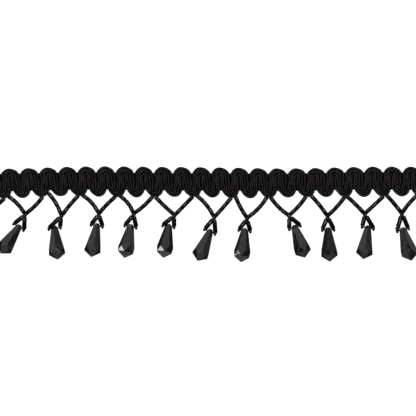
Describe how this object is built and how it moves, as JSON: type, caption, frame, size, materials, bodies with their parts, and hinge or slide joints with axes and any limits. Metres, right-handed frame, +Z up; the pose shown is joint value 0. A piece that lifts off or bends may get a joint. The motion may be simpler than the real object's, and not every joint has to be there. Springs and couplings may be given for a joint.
{
  "type": "beaded fringe trim",
  "caption": "Scalloped gimp braid with a fringe of bugle bead strands that carry faceted teardrop drops, laid flat face up.",
  "frame": {"origin": "middle of the foot: the centre of the trim's bounding box, on the surface it lies on", "axes": "+X along the braid, +Y from the drops towards the braid's upper edge, +Z up from the surface, out of the braid's face"},
  "size_m": [0.2384, 0.048, 0.0085],
  "materials": {
    "gimp_cord": "rayon gimp cord, soft sheen",
    "bugle_glass": "opaque black glass, glossy",
    "drop_acrylic": "opaque black acrylic, polished facets"
  },
  "bodies": {
    "root": {"gimp_braid": "gimp_cord", "bead_strands": "bugle_glass", "drop_01": "drop_acrylic", "drop_02": "drop_acrylic", "drop_03": "drop_acrylic", "drop_04": "drop_acrylic", "drop_05": "drop_acrylic", "drop_06": "drop_acrylic", "drop_07": "drop_acrylic", "drop_08": "drop_acrylic", "drop_09": "drop_acrylic", "drop_10": "drop_acrylic", "drop_11": "drop_acrylic", "drop_12": "drop_acrylic"}
  },
  "joints": []
}
